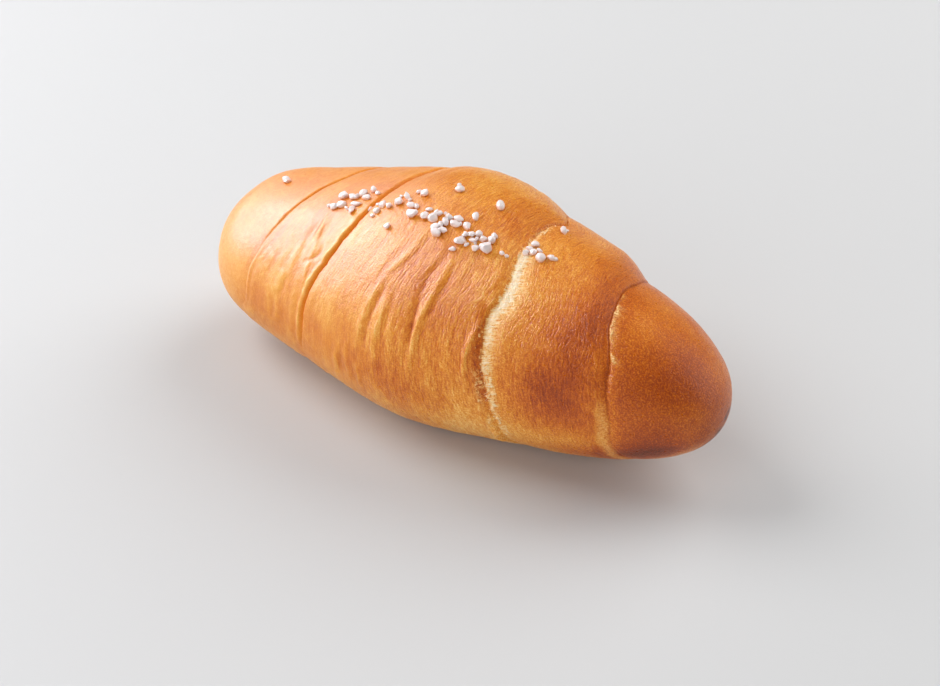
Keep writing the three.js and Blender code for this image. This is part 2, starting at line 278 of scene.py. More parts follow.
# stretch creases: height (below 0 a valley), widths of the left and right
# flank, then the line as (angle, x)
CREASES = [
    (0.30, 1.6, 0.8, [(112, -1.6), (120, -2.0), (127, -2.6), (133, -4.2), (140, -5.9), (146, -6.8)]),
    (-0.28, 0.7, 1.2, [(114, -0.6), (121, -0.8), (128, -1.6), (134, -3.2), (141, -5.2)]),
    (0.38, 1.5, 0.7, [(143, -6.6), (149, -7.6), (156, -8.6), (163, -9.4), (170, -9.9), (176, -10.4)]),
    (-0.55, 0.8, 0.9, [(145, -5.3), (150, -6.0), (155, -6.8), (161, -7.5), (167, -7.9), (174, -8.6)]),
    (0.40, 1.0, 0.7, [(148, -3.4), (154, -3.7), (160, -4.2), (166, -4.8), (172, -5.0), (179, -4.2)]),
    (-0.25, 0.6, 1.0, [(150, -2.2), (156, -2.4), (162, -2.8), (169, -3.2)]),
    (0.25, 1.4, 0.9, [(116, 3.8), (122, 4.4), (129, 3.9), (136, 2.6)]),
    (-0.55, 1.1, 0.5, [(120, 6.0), (128, 5.6), (136, 5.0), (145, 4.7), (153, 4.7), (160, 4.8), (167, 4.6), (174, 4.0)]),
    (0.48, 0.8, 1.0, [(122, 8.1), (130, 8.0), (138, 7.9), (145, 7.4), (151, 6.6), (158, 6.3), (165, 6.2), (172, 5.7), (178, 5.0)]),
    (-0.30, 0.8, 1.4, [(126, 9.6), (133, 9.4), (140, 9.0), (147, 8.5), (152, 8.0)]),
    (0.14, 0.4, 0.6, [(158, 8.6), (165, 8.9), (172, 9.1), (181, 9.2)]),
    (0.16, 1.2, 1.4, [(114, 15.6), (122, 16.3), (130, 16.7), (140, 16.0), (149, 15.6)]),
    (0.60, 0.8, 0.6, [(128, 22.2), (134, 22.0), (140, 21.7), (147, 21.0), (155, 20.3), (162, 20.0), (169, 20.3), (176, 21.2)]),
    (0.28, 0.8, 0.8, [(180, -17.6), (186, -18.2), (194, -18.8), (204, -19.6)]),
    (-0.26, 0.7, 0.8, [(181, -16.2), (188, -16.7), (196, -17.4)]),
    (0.22, 0.7, 0.7, [(172, -13.2), (178, -14.2), (184, -14.3), (192, -13.9), (200, -14.2)]),
    (-0.20, 0.7, 0.8, [(184, -12.0), (190, -12.2), (198, -12.2)]),
    (0.28, 0.6, 0.8, [(182, -10.2), (190, -10.3), (200, -10.4)]),
    (0.08, 1.2, 1.2, [(140, -14.4), (150, -15.5), (160, -16.5), (170, -17.2)]),
    (0.10, 0.5, 0.6, [(135, 0.2), (145, -0.4), (155, -0.8), (165, -1.0), (173, -0.3)]),
    (0.06, 0.8, 0.8, [(134, 12.4), (145, 12.8), (158, 13.2)]),
    (0.08, 0.5, 0.6, [(150, 17.4), (160, 17.3)]),
    (0.14, 1.0, 0.8, [(124, -36.6), (132, -36.8), (140, -37.2), (150, -37.6), (158, -38.0)]),
    (-0.26, 0.7, 0.9, [(124, -33.9), (129, -34.3), (136, -34.9), (143, -35.6), (149, -35.7)]),
    (0.24, 0.7, 0.6, [(119, -33.0), (127, -32.6), (134, -32.2), (141, -31.9), (147, -32.1), (154, -31.9), (160, -32.4)]),
    (-0.22, 0.6, 0.7, [(136, -29.0), (141, -29.4), (144.5, -31.0), (148.5, -33.6)]),
    (-0.16, 0.8, 0.8, [(120, -30.2), (128, -30.2), (136, -30.6)]),
    (0.12, 1.0, 0.8, [(132, -41.0), (139, -41.0), (146, -40.6), (152, -40.6)]),
    (0.14, 0.6, 0.6, [(164, -43.2), (170, -44.1), (177, -45.2), (184, -46.0)]),
    (0.22, 0.9, 0.6, [(156, -39.8), (163, -40.8), (170, -42.0)]),
    (-0.20, 0.6, 0.8, [(158, -38.6), (164, -39.4), (170, -40.4)]),
    (0.10, 1.0, 1.0, [(160, -44.0), (168, -45.6), (178, -47.0)]),
    (0.20, 0.6, 0.7, [(176, -40.2), (182, -41.2), (188, -42.4)]),
    # over the back, of the same kind
    (0.26, 1.5, 0.9, [(14, -8.4), (30, -7.2), (48, -6.2), (70, -5.4)]),
    (-0.34, 0.8, 1.1, [(8, -4.6), (26, -3.6), (44, -2.8), (60, -2.4)]),
    (0.34, 0.9, 1.0, [(4, 1.2), (22, 2.0), (40, 2.4), (64, 2.4)]),
    (-0.30, 1.0, 0.7, [(2, 5.6), (20, 5.8), (42, 5.4), (56, 5.0)]),
    (0.18, 1.0, 1.2, [(-18, -2.4), (-4, -1.2), (12, -0.4)]),
    (0.16, 0.9, 0.9, [(20, -26.0), (38, -26.8), (58, -27.2)]),
    (-0.16, 0.8, 0.9, [(10, -22.6), (28, -23.4), (44, -23.8)]),
    (0.14, 1.2, 0.9, [(6, 27.0), (24, 28.0), (44, 28.6)]),
]
wig = Noise(31)
fold = np.zeros_like(X)
for i, (high, wl, wr, line) in enumerate(CREASES):
    a0, a1 = line[0][0], line[-1][0]
    t = (DEG - a0) / (a1 - a0)
    env = smooth(-0.15, 0.22, t) * smooth(1.15, 0.7, t)
    d = X - curve(DEG, line) - 0.22 * wig(ARC / 5, i * 5.3)
    w = 0.6 * np.where(d < 0, wl, wr) * (1.05 + 0.45 * wig(ARC / 3.2, i * 7.7 + 20))
    fold += env * high * np.exp(-np.abs(d / w) ** 1.3) * (1 + 0.35 * wig(ARC / 2.5, i * 3.1 + 50))
fold *= 1 + in3 * (0.35 * smooth(146, 160, DEG) - 0.5 * smooth(140, 120, DEG) * smooth(90, 100, DEG))
relief += 1.05 * fold * (in3 * soft3 + 1.7 * in2 * soft2 + in4 * soft4) * (1 - 0.6 * smooth(30, 48, half) * smooth(96, 78, half))

# fine stretch marks that follow each turn
n1, n2, n3, n4, n5, n6 = (Noise(s) for s in (41, 42, 43, 44, 45, 46))
side_env = 0.35 + 0.65 * smooth(100, 135, half) + 0.5 * smooth(70, 30, half) * smooth(-60, -20, half)
A3 = V3 * 46.0
A2 = V2 * 23.0
A4 = V4 * 29.0
marks = in3 * soft3 * (0.10 * n1(A3 / 3.1, ARC / 26) + 0.065 * n2(A3 / 1.6, ARC / 13) + 0.028 * n3(A3 / 0.9, ARC / 7)) \
    + in2 * soft2 * (0.10 * n3(A2 / 2.8, ARC / 22) + 0.06 * n2(A2 / 1.5, ARC / 14, 5.0) + 0.022 * n1(A2 / 0.9, ARC / 7, 2.0)) \
    + in4 * soft4 * (0.07 * n4(A4 / 3.2, ARC / 24) + 0.045 * n2(A4 / 1.6, ARC / 12, 9.0) + 0.024 * n1(A4 / 0.9, ARC / 6, 4.0))
# thin raised pull lines
pull = in3 * soft3 * np.clip(1 - 4.0 * np.abs(n4(A3 / 4.2, ARC / 30, 7.0)), 0, 1) ** 2 \
    + in2 * soft2 * np.clip(1 - 4.0 * np.abs(n4(A2 / 3.6, ARC / 26, 3.0)), 0, 1) ** 2 \
    + 0.6 * in4 * soft4 * np.clip(1 - 4.0 * np.abs(n4(A4 / 4.6, ARC / 26, 1.0)), 0, 1) ** 2
marks += 0.13 * pull * smooth(-0.3, 0.5, n2(A3 / 7.0, ARC / 11, 21.0))
relief += side_env * marks

# slow unevenness of hand-rolled dough, small blisters and dimples
relief += (0.25 + 0.2 * smooth(45, 10, half)) * n5(P[..., 0] / 34, P[..., 1] / 30, P[..., 2] / 30) \
    + 0.12 * n6(P[..., 0] / 12, P[..., 1] / 11, P[..., 2] / 11)
relief += 0.03 * n1(P[..., 0] / 3.4, P[..., 1] / 3.4, P[..., 2] / 3.4) + 0.012 * n4(P[..., 0] / 1.5, P[..., 1] / 1.5, P[..., 2] / 1.5)

# torn, floury margin that the turn above has pulled away from
tear = Noise(51)
ragg = 0.8 * tear(ARC / 2.2, 1.0) + 0.6 * tear(ARC / 0.8, 12.0)
slow_rag = tear(ARC / 6.0, 31.0)
strand = tear(D["R1"] / 0.5, (ARC + 0.9 * D["R1"]) / 2.2, 3.0)
d1, d2 = D["R1"], D["R2"]
wide1 = curve(DEG, [(40, 0.8), (75, 1.3), (90, 2.1), (112, 2.8), (140, 3.2), (157, 3.0), (170, 2.8), (200, 2.4)])
q1 = (d1 + 0.45 * ragg + 0.5 * slow_rag * smooth(0.5, 2.0, d1) + 0.45 * strand) / wide1
nick = tear(ARC / 1.9, 41.0) + 0.7 * tear(ARC / 0.9, 43.0)
# its paleness is lowered from 122 to 158 degrees round the roll, where the margin lies in shade: painted shade
m_r1 = smooth(-0.75, 0.5, d1 - 0.45 * nick) * (0.5 * smooth(1.15, 0.3, q1) + 0.5 * smooth(2.5, 0.35, q1)) \
    * (X < x_r2) * smooth(50, 74, DEG) * smooth(178, 158, DEG) * (1.04 - 0.44 * smooth(122, 158, DEG)) * (0.27 + 0.73 * smooth(88, 106, DEG))
m_r1 *= 1 - 0.75 * smooth(150, 164, DEG) * smooth(0.25, -0.35, tear(ARC / 2.4, 53.0))
# pockets under the lip, also darkened in the crust colour as painted shadow; crumbs of skin along it and in the valley
pocket = smooth(0.15, 0.6, nick) * bump(d1, -0.1, 0.36) * smooth(62, 78, DEG) * smooth(172, 156, DEG) * (0.35 + 0.65 * smooth(128, 145, DEG))
crumb = smooth(0.1, 0.55, tear(ARC / 1.3, d1 / 0.7, 47.0)) * bump(d1, -0.6, 0.45) * smooth(66, 80, DEG) * smooth(186, 160, DEG)
crumb = np.maximum(crumb, smooth(0.42, 0.62, tear(X / 0.9, ARC / 0.9, 33.0)) * bump(d1, -1.5, 1.0) * smooth(138, 148, DEG) * smooth(182, 170, DEG))
m_r1b = smooth(-0.3, 0.4, d1) * smooth(3.0, 0.6, d1 + ragg) * (X < x_r2) \
    * np.clip(smooth(160, 180, DEG) * smooth(225, 205, DEG) + smooth(62, 40, DEG) * smooth(-40, 10, DEG), 0, 1)
m_r1c = (0.2 + 0.8 * smooth(-0.3, 0.5, 0.7 * tear(X / 0.6, ARC / 1.0, 71.0) + 0.6 * tear(X / 1.4, ARC / 2.4, 75.0))) \
    * np.maximum(bump(d1, 1.7, 1.3), 0.75 * bump(d1 + 0.7 * slow_rag, -1.8, 1.1) * smooth(-0.75, 0.1, tear(ARC / 4.0, 77.0))) \
    * smooth(156, 168, DEG) * smooth(216, 204, DEG)
cover = tear(ARC / 3.4, 17.0) + 0.5 * tear(ARC / 1.1, 19.0) + 0.55 * bump(DEG, 111, 13)
flake = 0.8 * tear(ARC / 3.0, 61.0) + 0.5 * tear(ARC / 1.5, 63.0) + 0.3 * tear(d2 / 0.8, ARC / 1.2, 8.0)
m_r2 = smooth(0.1, 0.6, d2 - 0.25 * nick) * (0.5 * smooth(1.9, 0.4, d2 + 0.9 * flake) + 0.5 * smooth(4.2, 0.6, d2 + 1.2 * flake)) \
    * smooth(80, 96, DEG) * smooth(156, 132, DEG) * (0.3 + 0.7 * smooth(-0.15, 0.55, cover))
m_r2b = smooth(2.6, 0.4, np.abs(d2 + 1.8 + 0.6 * tear(ARC / 6.0, 6.0))) * smooth(150, 176, DEG) * smooth(238, 214, DEG)
# rolled rims beside the left seams
rim_l1 = in2 * bump(D["L1"], 1.7 + 0.4 * tear(ARC / 4.0, 81.0), 0.6) * smooth(112, 138, DEG) * smooth(196, 178, DEG) * (0.75 + 0.8 * tear(ARC / 3.0, 83.0))
relief += 0.34 * rim_l1
relief += 0.16 * bump(D["L2"], -0.6, 0.6) * smooth(140, 152, DEG) * smooth(196, 170, DEG)
relief += m_r1 * (0.13 * tear(X / 0.9, ARC / 0.9) + 0.15 * strand) - 0.35 * pocket + 0.12 * crumb
relief += m_r2 * (0.12 + 0.08 * tear(X / 0.8, ARC / 0.8, 6.0))
# the low corner of the middle turn stands out as a small lip
relief += 1.2 * bump(d1, -1.3, 1.2) * bump(DEG, 209, 8)
crumbly = smooth(2.6, 0.5, np.abs(D["R1"] - 0.3)) * smooth(170, 182, DEG) * smooth(228, 206, DEG)
relief += crumbly * (0.4 * tear(X / 1.0, ARC / 1.5, 9.0) + 0.15 * tear(X / 0.5, ARC / 0.6, 2.0)) + 0.14 * m_r1c

lift = smooth(0.0, BASE_FADE, P[..., 2])
Q = P + N * (relief * lift)[..., None]
Q[..., 0] += slide * lift
Q[..., 2] = np.maximum(Q[..., 2], 0.0)
Q[..., 1] -= MID_Y

# --------------------------------------------------------------------------
# Painted masks
# --------------------------------------------------------------------------
tone = Noise(61)
height01 = np.clip(P[..., 2] / HEIGHT, 0, 1)
pale = np.clip(m_r1 + 0.2 * m_r1b + 0.72 * m_r1c + 0.44 * m_r2 + 0.24 * m_r2b + 0.4 * crumb, 0, 1) * lift
# painted bounce light in the left grooves: a saturated golden colour that stands in for light reflected between the
# groove walls
groove_glow = ST["L1"] * bump(D["L1"], 0.35, 0.75) * (curve(DEG, FORM["L1"]["groove"]) / 0.8).clip(0, 1) \
    + 0.6 * ST["L2"] * bump(D["L2"], 0.25, 0.5) * (curve(DEG, FORM["L2"]["groove"]) / 0.6).clip(0, 1) * smooth(60, 84, DEG)

# browning and painted light: x in mm, angle, spread of each, amount
# painted shade: (68, 184) on the low end cap; partly painted shadow, partly real browning from the tray: (64, 203),
# (57, 213) and (69, 202) along the low edge
# partly browning, partly painted shade: (14, 90), where the middle turn rounds off; partly paler crust, partly painted
# sheen: (-62, 162) and (-45, 160) on the low front of the broad end
BROWNING_AND_PAINTED_LIGHT = [
    (67, 130, 14, 40, 0.26), (74, 102, 8, 34, 0.16), (68, 184, 10, 22, 0.25), (46, 112, 7, 32, 0.28), (44, 168, 11, 22, 0.33),
    (38, 135, 8, 22, 0.08), (19, 158, 5, 18, 0.05), (14, 90, 8, 16, 0.14), (30, 89, 8, 14, 0.05), (41, 84, 7, 16, 0.10), (-6, 60, 16, 14, -0.05), (-4, 86, 13, 11, 0.04),
    (-40, 189, 9, 13, 0.02), (0, 184, 16, 14, 0.13), (4, 156, 9, 24, 0.05), (15, 142, 6, 14, 0.05), (54, 100, 5, 14, -0.05), (30, 205, 22, 14, -0.08),
    (64, 203, 8, 14, 0.33), (-18, 138, 12, 20, -0.03), (-23, 163, 8, 10, -0.13), (20, 158, 2.5, 12, 0.06), (2, 142, 14, 22, 0.04), (-62, 162, 14, 15, -0.12), (-45, 160, 9, 12, -0.11),
    (-36, 164, 7, 10, -0.05), (17, 190, 10, 10, -0.03), (43, 196, 8, 8, -0.06), (57, 213, 16, 11, 0.30), (69, 202, 7, 10, 0.13), (24, 68, 7, 10, 0.06),
    (59, 154, 3.5, 14, 0.09), (35, 182, 6, 14, -0.05),
    (25.5, 90, 4, 11, -0.09),
    (64, 40, 10, 34, 0.15), (45, 30, 8, 36, 0.17), (22, 45, 9, 24, 0.08), (-36, 38, 12, 26, 0.08), (-8, 22, 12, 20, 0.06),
    (68, -18, 9, 16, 0.12),
]
toast_and_painted_light = 0.545 + 0.05 * tone(P[..., 0] / 26, P[..., 1] / 24, P[..., 2] / 24) + 0.035 * tone(P[..., 0] / 8, P[..., 1] / 8, P[..., 2] / 8)
# round the very tips the shades run together
axis_s = X / (LENGTH / 2)
off_axis = smooth(1.0, 12.0, np.hypot(P[..., 1] - BEND * (axis_s * axis_s - 0.33), P[..., 2] - section(axis_s)[1]))
at_tip = np.where(X > 0, 0.5, 0.35)
left_front = at_tip + off_axis * (smooth(95, 130, half) * smooth(215, 180, half) - at_tip)
# darker toward the narrow end, paler toward the broad tip; the paler bottom of the sides is partly less browning and
# partly painted bounce light from below
toast_and_painted_light += 0.09 * smooth(20, 60, X) - 0.05 * smooth(-50, -66, X) - 0.12 * smooth(-64, -75, X) * left_front - 0.07 * smooth(0.34, 0.06, height01) * smooth(60, 40, X)
for bx, bdeg, sx, sdeg, amount in BROWNING_AND_PAINTED_LIGHT:
    toast_and_painted_light += amount * bump(X, bx, sx) * (at_tip + off_axis * (bump((DEG - bdeg + 180) % 360 - 180, 0, sdeg) - at_tip))
# ridges of the creases and marks paler, their valleys darker: partly drier stretched skin, partly painted highlight and
# shade
toast_and_painted_light -= 0.34 * fold + 0.7 * side_env * marks
# painted shade in the seams: darker in the pockets under the lip, in the valley of the middle seam and where the crack
# of the last seam widens; painted highlight: paler on the rolled rim
toast_and_painted_light += 0.2 * pocket + 0.2 * bump(d1, -1.2, 1.2) * smooth(126, 142, DEG) * smooth(188, 172, DEG) + 0.1 * bump(d2, 0.0, 0.9) * bump(DEG, 145, 9)
toast_and_painted_light -= 0.2 * m_r2b + 0.10 * smooth(4.4, 0.8, d2 + 1.2 * flake) * smooth(-0.1, 0.5, d2) * smooth(92, 110, DEG) * smooth(212, 194, DEG)
# painted shade along the first left groove
toast_and_painted_light += 0.08 * bump(D["L1"], 0.2, 0.45) * smooth(50, 80, DEG) * smooth(190, 170, DEG)
# painted shadow on the step under the lip of the middle turn
toast_and_painted_light += 0.12 * bump(d1, -0.3, 0.4) * smooth(120, 140, DEG) * smooth(188, 172, DEG)
# golden skin beside the torn margin
toast_and_painted_light -= (0.07 + 0.05 * smooth(118, 138, DEG) * smooth(166, 152, DEG)) * smooth(6.5, 2.0, d1) * smooth(-0.2, 0.6, d1) * smooth(84, 104, DEG) * smooth(190, 172, DEG)
# painted shade along the step at the top of the middle seam
toast_and_painted_light += 0.09 * bump(d1, -0.4, 0.6) * smooth(66, 76, DEG) * smooth(112, 98, DEG)
# painted highlight: the rolled rim beside the first left seam is made paler
toast_and_painted_light -= 0.22 * rim_l1
toast_and_painted_light += 0.08 * bump(D["L2"], 1.3, 0.9) * smooth(134, 142, DEG) * smooth(172, 160, DEG)
# scorched flecks on the low edge of the narrow end: y, z, spread
for fy, fz, sy, sz in ((3.0, 24.2, 0.7, 0.5), (1.3, 24.6, 0.8, 0.5), (-0.2, 23.6, 0.9, 0.7), (-2.7, 20.4, 1.3, 0.8), (-4.6, 18.0, 1.8, 0.5)):
    spot = bump(P[..., 1] - MID_Y, fy, sy) * bump(P[..., 2], fz, sz) * smooth(72, 74, X)
    toast_and_painted_light += 0.65 * spot
base_mask = smooth(2.2, 0.2, Q[..., 2])


def mesh_from_grid(name, pts, tip_a, tip_b):
    rows, cols = pts.shape[:2]
    verts = np.concatenate([pts.reshape(-1, 3), [tip_a, tip_b]]) * MM
    r, c = np.meshgrid(np.arange(rows), np.arange(cols - 1), indexing="ij")
    r1 = (r + 1) % rows
    quads = np.stack([r * cols + c, r1 * cols + c, r1 * cols + c + 1, r * cols + c + 1], -1).reshape(-1, 4)
    a, b = rows * cols, rows * cols + 1
    rr = np.arange(rows)
    rn = (rr + 1) % rows
    tris_a = np.stack([np.full(rows, a), rn * cols, rr * cols], -1)
    tris_b = np.stack([np.full(rows, b), rr * cols + cols - 1, rn * cols + cols - 1], -1)
    me = bpy.data.meshes.new(name)
    me.from_pydata(verts.tolist(), [], quads.tolist() + tris_a.tolist() + tris_b.tolist())
    me.update()
    me.polygons.foreach_set("use_smooth", np.ones(len(me.polygons), bool))
    return me


def tip_point(sign):
    return np.array([sign * LENGTH / 2, BEND * 0.67 - MID_Y, float(section(np.array(float(sign)))[1])])


me = mesh_from_grid("bread_roll", Q, tip_point(-1), tip_point(1))


def add_attr(name, grid, ends):
    at = me.attributes.new(name, "FLOAT", "POINT")
    at.data.foreach_set("value", np.concatenate([grid.reshape(-1), ends]).astype(np.float32))


ends_of = {"pale": (0, 0), "groove_glow": (0, 0), "toast_and_painted_light": (float(toast_and_painted_light[:, 0].mean()), float(toast_and_painted_light[:, -1].mean())), "base": (0, 0)}
for name, grid in (("pale", pale), ("groove_glow", groove_glow), ("toast_and_painted_light", toast_and_painted_light), ("base", base_mask)):
    add_attr(name, grid, ends_of[name])
# flow: millimetres across the turn, millimetres along it, which turn
across = np.where(in3 > 0, A3, np.where(in2 > 0, A2 + 100, np.where(in4 > 0, A4 + 200, np.where(capL > 0, X + 400, X + 600))))
flow = np.stack([across, ARC, P[..., 2] * 0], -1)
at = me.attributes.new("flow", "FLOAT_VECTOR", "POINT")
at.data.foreach_set("vector", np.concatenate([flow.reshape(-1, 3), [[400 - 77.5, 0, 0], [677.5, 0, 0]]]).astype(np.float32).reshape(-1))
# fray: millimetres across the nearest right-hand seam, millimetres along it
near1 = X < (x_r1 + x_r2) / 2
d_near = np.clip(np.where(near1, d1, d2), -8, 8)
fray = np.stack([np.where(near1, d_near, 2.6 * d_near), np.where(near1, ARC + 0.45 * d_near, 1.2 * ARC + 0.5 * d_near), np.where(near1, 0.0, 50.0)], -1)
at = me.attributes.new("fray", "FLOAT_VECTOR", "POINT")
at.data.foreach_set("vector", np.concatenate([fray.reshape(-1, 3), [[-8, 0, 0], [8, 0, 50]]]).astype(np.float32).reshape(-1))
# how streaky the skin is: strong on the turns, none on the end caps
streak = (in3 * soft3 * 1.0 + in2 * soft2 * 0.8 + in4 * soft4 * 0.8) * lift
add_attr("streak", streak, (0, 0))
# how crisp the grain of the skin is: the broad end is smoother
crisp = curve(X, [(-72, 0.3), (-40, 0.42), (-18, 0.6), (0, 1.2), (22, 1.4), (60, 1.3)])
add_attr("crisp", crisp, (0.3, 1.3))

roll = bpy.data.objects.new("bread_roll", me)
bpy.context.scene.collection.objects.link(roll)

# unwrapped as the grid it was made from
uv = me.uv_layers.new(name="OFBake")
loop_v = np.zeros(len(me.loops), np.int64)
me.loops.foreach_get("vertex_index", loop_v)
n_grid = ROWS * (COLUMNS - 1)
row = np.where(loop_v < n_grid, loop_v // (COLUMNS - 1), 0).astype(float)
col = np.where(loop_v < n_grid, loop_v % (COLUMNS - 1) + 1, np.where(loop_v == n_grid, 0, COLUMNS)).astype(float)
start = np.zeros(len(me.polygons), np.int64)
count = np.zeros(len(me.polygons), np.int64)
me.polygons.foreach_get("loop_start", start)
me.polygons.foreach_get("loop_total", count)
poly_of = np.repeat(np.arange(len(start)), count)
first_row = np.zeros(len(start))
nq = ROWS * (COLUMNS - 2)
first_row[:nq] = np.repeat(np.arange(ROWS), COLUMNS - 2)
first_row[nq:nq + ROWS] = np.arange(ROWS)
first_row[nq + ROWS:] = np.arange(ROWS)
row = np.where((first_row[poly_of] == ROWS - 1) & (row == 0) & (loop_v < n_grid), ROWS, row)
row = np.where(loop_v >= n_grid, first_row[poly_of] + 0.5, row)
uv.data.foreach_set("uv", np.stack([0.002 + 0.996 * col / COLUMNS, 0.002 + 0.996 * row / ROWS], -1).astype(np.float32).reshape(-1))


# --------------------------------------------------------------------------
# Materials
# --------------------------------------------------------------------------
def srgb(r, g, b):
    def f(v):
        v /= 255
        return v / 12.92 if v <= 0.04045 else ((v + 0.055) / 1.055) ** 2.4
    return (f(r), f(g), f(b), 1.0)


class Graph:
    def __init__(self, name):
        self.mat = bpy.data.materials.new(name)
        self.mat.use_nodes = True
        self.nodes = self.mat.node_tree.nodes
        self.links = self.mat.node_tree.links
        self.bsdf = self.nodes["Principled BSDF"]

    def put(self, socket, value):
        if hasattr(value, "is_output") or isinstance(value, bpy.types.NodeSocket):
            self.links.new(value, socket)
        else:
            socket.default_value = value

    def math(self, op, a, b=0.0, clamp=False):
        n = self.nodes.new("ShaderNodeMath")
        n.operation = op
        n.use_clamp = clamp
        self.put(n.inputs[0], a)
        self.put(n.inputs[1], b)
        return n.outputs[0]

    def attr(self, name, vector=False):
        n = self.nodes.new("ShaderNodeAttribute")
        n.attribute_name = name
        return n.outputs["Vector"] if vector else n.outputs["Fac"]

    def coords(self):
        return self.nodes.new("ShaderNodeTexCoord").outputs["Object"]

    def scaled(self, vec, sx, sy, sz):
        n = self.nodes.new("ShaderNodeVectorMath")
        n.operation = "MULTIPLY"
        self.put(n.inputs[0], vec)
        n.inputs[1].default_value = (sx, sy, sz)
        return n.outputs[0]

    def noise(self, vec, scale, detail=2.0, rough=0.5, distortion=0.0):
        n = self.nodes.new("ShaderNodeTexNoise")
        self.put(n.inputs["Vector"], vec)
        n.inputs["Scale"].default_value = scale
        n.inputs["Detail"].default_value = detail
        n.inputs["Roughness"].default_value = rough
        n.inputs["Distortion"].default_value = distortion
        return n.outputs["Fac"]

    def span(self, value, a, b, c, d):
        n = self.nodes.new("ShaderNodeMapRange")
        n.clamp = True
        self.put(n.inputs["Value"], value)
        for s, v in zip(("From Min", "From Max", "To Min", "To Max"), (a, b, c, d)):
            n.inputs[s].default_value = v
        return n.outputs[0]

    def mix(self, fac, a, b, mode="MIX"):
        n = self.nodes.new("ShaderNodeMix")
        n.data_type = "RGBA"
        n.blend_type = mode
        self.put(n.inputs["Factor"], fac)
        self.put(n.inputs[6], a)
        self.put(n.inputs[7], b)
        return n.outputs[2]

    def ramp(self, value, stops):
        n = self.nodes.new("ShaderNodeValToRGB")
        self.put(n.inputs["Fac"], value)
        cr = n.color_ramp
        while len(cr.elements) < len(stops):
            cr.elements.new(0.5)
        for el, (pos, colour) in zip(cr.elements, stops):
            el.position = pos
            el.color = colour
        return n.outputs["Color"]

    def bump(self, height, strength, distance, normal=None):
        n = self.nodes.new("ShaderNodeBump")
        n.inputs["Strength"].default_value = strength
        n.inputs["Distance"].default_value = distance
        self.put(n.inputs["Height"], height)
        if normal is not None:
            self.put(n.inputs["Normal"], normal)
        return n.outputs["Normal"]


